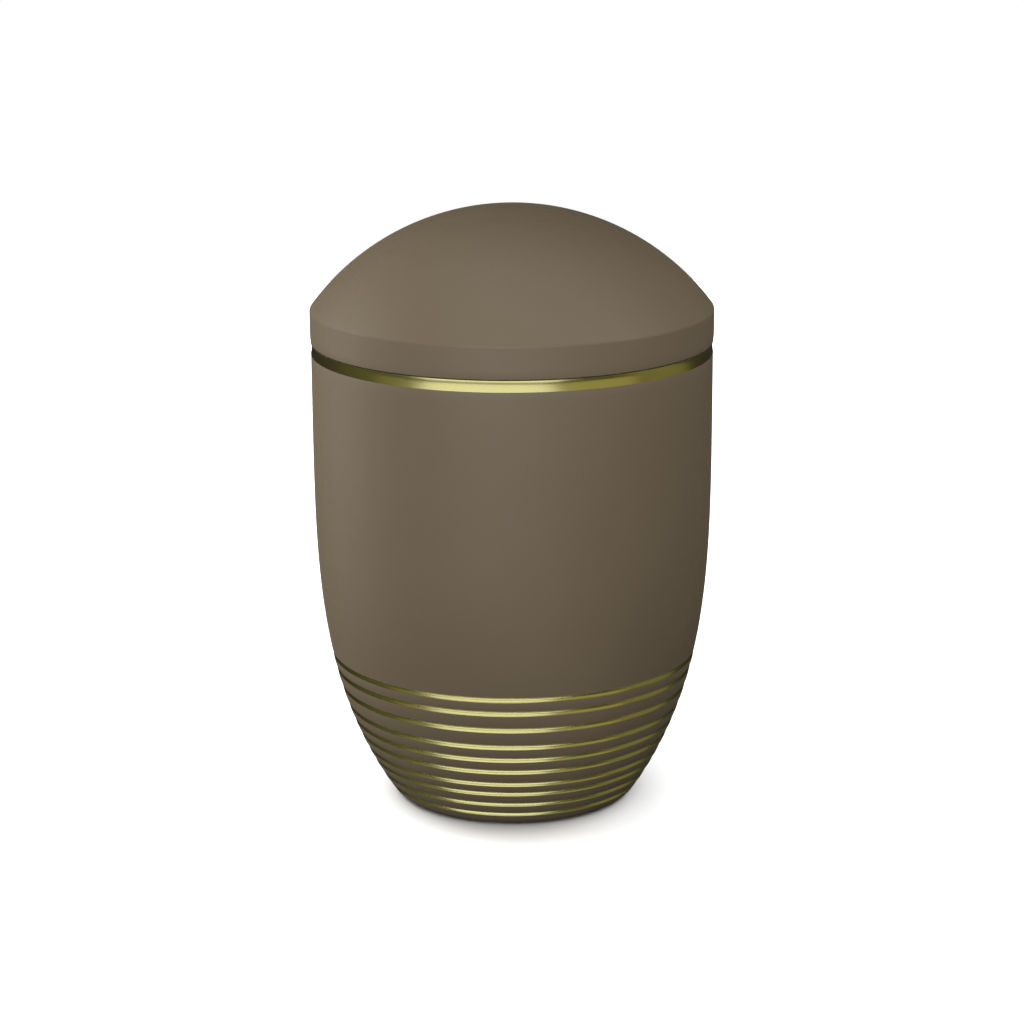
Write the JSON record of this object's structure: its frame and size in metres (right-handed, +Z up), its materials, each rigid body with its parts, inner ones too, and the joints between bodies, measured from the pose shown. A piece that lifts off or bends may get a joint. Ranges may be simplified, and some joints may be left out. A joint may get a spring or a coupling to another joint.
{
  "type": "cremation urn",
  "caption": "Round cremation urn with a domed lid that lifts off, a gilded band under the lid and gilded turned grooves round its tapering foot.",
  "frame": {"origin": "centre of the flat ring that the urn stands on", "axes": "+Z up along the urn's axis; the urn is round, so X and Y have no front of their own, and the picture looks along +Y"},
  "size_m": [0.2068, 0.2068, 0.3108],
  "materials": {
    "taupe_lacquer": "smooth matt taupe lacquer",
    "gilding": "satin gold lacquer laid in the band and the grooves"
  },
  "bodies": {
    "root": {"urn_body": "taupe_lacquer", "urn_lid": "taupe_lacquer"}
  },
  "joints": []
}
